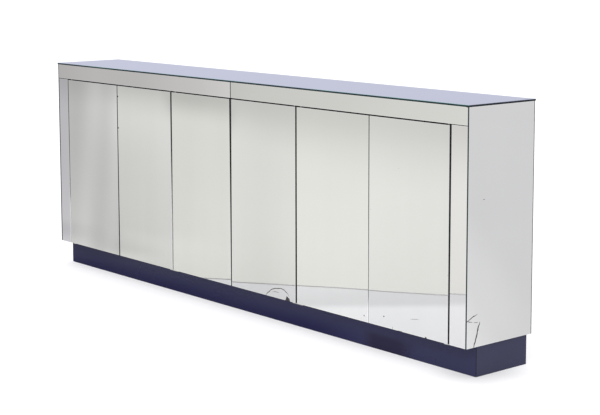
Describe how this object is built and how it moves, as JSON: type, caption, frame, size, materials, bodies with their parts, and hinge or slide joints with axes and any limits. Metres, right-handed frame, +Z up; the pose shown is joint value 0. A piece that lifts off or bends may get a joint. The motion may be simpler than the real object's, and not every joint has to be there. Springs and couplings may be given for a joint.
{
  "type": "side cabinet",
  "caption": "Long, shallow mirror-clad side cabinet on a recessed plinth, with handleless push-to-open doors in pairs and a shelf behind each pair.",
  "frame": {"origin": "on the floor under the middle of the cabinet's bounding box", "axes": "+X along the cabinet's length, to the right seen from the front; +Y from the doors to the back; +Z up"},
  "size_m": [2.441, 0.316, 0.886],
  "materials": {
    "mirror": "silvered glass with polished edges, lightly aged",
    "top_mirror": "silvered glass, bluish, with dark green cut edges",
    "plywood": "brown stained plywood, satin",
    "laminate": "dark navy laminate, semi-gloss",
    "steel": "zinc plated steel",
    "latch_plastic": "brown moulded plastic"
  },
  "bodies": {
    "cabinet": {"left_side_panel": "plywood", "right_side_panel": "plywood", "bottom_deck": "plywood", "top_deck": "plywood", "back_panel": "plywood", "partition_1": "plywood", "partition_2": "plywood", "shelf_1": "plywood", "shelf_2": "plywood", "shelf_3": "plywood", "header_rail": "plywood", "left_stile_board": "plywood", "right_stile_board": "plywood", "plinth_front": "laminate", "plinth_right": "laminate", "plinth_back": "laminate", "plinth_left": "laminate", "top_mirror": "top_mirror", "left_header_mirror": "mirror", "right_header_mirror": "mirror", "left_stile_mirror": "mirror", "right_stile_mirror": "mirror", "left_end_mirror": "mirror", "right_end_mirror": "mirror", "upper_pivot_plate_1": "steel", "upper_pivot_plate_2": "steel", "upper_pivot_plate_3": "steel", "upper_pivot_plate_4": "steel", "lower_pivot_plate_1": "steel", "lower_pivot_plate_2": "steel", "lower_pivot_plate_3": "steel", "lower_pivot_plate_4": "steel", "latch_1_housing": "latch_plastic", "latch_2_housing": "latch_plastic", "latch_3_housing": "latch_plastic"},
    "door_1": {"door_1_core": "plywood", "door_1_mirror": "mirror", "door_1_strike": "steel"},
    "door_2": {"door_2_core": "plywood", "door_2_mirror": "mirror", "door_2_strike": "steel"},
    "door_3": {"door_3_core": "plywood", "door_3_mirror": "mirror", "door_3_strike": "steel"},
    "door_4": {"door_4_core": "plywood", "door_4_mirror": "mirror", "door_4_strike": "steel"},
    "door_5": {"door_5_core": "plywood", "door_5_mirror": "mirror", "door_5_strike": "steel"},
    "door_6": {"door_6_core": "plywood", "door_6_mirror": "mirror", "door_6_strike": "steel"},
    "plunger_1": {"plunger_1": "latch_plastic"},
    "plunger_2": {"plunger_2": "latch_plastic"},
    "plunger_3": {"plunger_3": "latch_plastic"},
    "plunger_4": {"plunger_4": "latch_plastic"},
    "plunger_5": {"plunger_5": "latch_plastic"},
    "plunger_6": {"plunger_6": "latch_plastic"}
  },
  "joints": [
    {"name": "door_1_hinge", "type": "hinge", "parent": "cabinet", "child": "door_1", "pos_m": [-1.12362, -0.1462, 0.46], "axis": [0, 0, -1], "range_deg": [0, 90]},
    {"name": "door_2_hinge", "type": "hinge", "parent": "cabinet", "child": "door_2", "pos_m": [-0.39838, -0.1462, 0.46], "axis": [0, 0, 1], "range_deg": [0, 90]},
    {"name": "door_3_hinge", "type": "hinge", "parent": "cabinet", "child": "door_3", "pos_m": [-0.36262, -0.1462, 0.46], "axis": [0, 0, -1], "range_deg": [0, 90]},
    {"name": "door_4_hinge", "type": "hinge", "parent": "cabinet", "child": "door_4", "pos_m": [0.36262, -0.1462, 0.46], "axis": [0, 0, 1], "range_deg": [0, 90]},
    {"name": "door_5_hinge", "type": "hinge", "parent": "cabinet", "child": "door_5", "pos_m": [0.39838, -0.1462, 0.46], "axis": [0, 0, -1], "range_deg": [0, 90]},
    {"name": "door_6_hinge", "type": "hinge", "parent": "cabinet", "child": "door_6", "pos_m": [1.12362, -0.1462, 0.46], "axis": [0, 0, 1], "range_deg": [0, 90]},
    {"name": "plunger_1_push", "type": "slide", "parent": "cabinet", "child": "plunger_1", "axis": [0, 1, 0], "range_m": [0, 0.003], "stiffness_N_per_m": 400},
    {"name": "plunger_2_push", "type": "slide", "parent": "cabinet", "child": "plunger_2", "axis": [0, 1, 0], "range_m": [0, 0.003], "stiffness_N_per_m": 400},
    {"name": "plunger_3_push", "type": "slide", "parent": "cabinet", "child": "plunger_3", "axis": [0, 1, 0], "range_m": [0, 0.003], "stiffness_N_per_m": 400},
    {"name": "plunger_4_push", "type": "slide", "parent": "cabinet", "child": "plunger_4", "axis": [0, 1, 0], "range_m": [0, 0.003], "stiffness_N_per_m": 400},
    {"name": "plunger_5_push", "type": "slide", "parent": "cabinet", "child": "plunger_5", "axis": [0, 1, 0], "range_m": [0, 0.003], "stiffness_N_per_m": 400},
    {"name": "plunger_6_push", "type": "slide", "parent": "cabinet", "child": "plunger_6", "axis": [0, 1, 0], "range_m": [0, 0.003], "stiffness_N_per_m": 400}
  ]
}
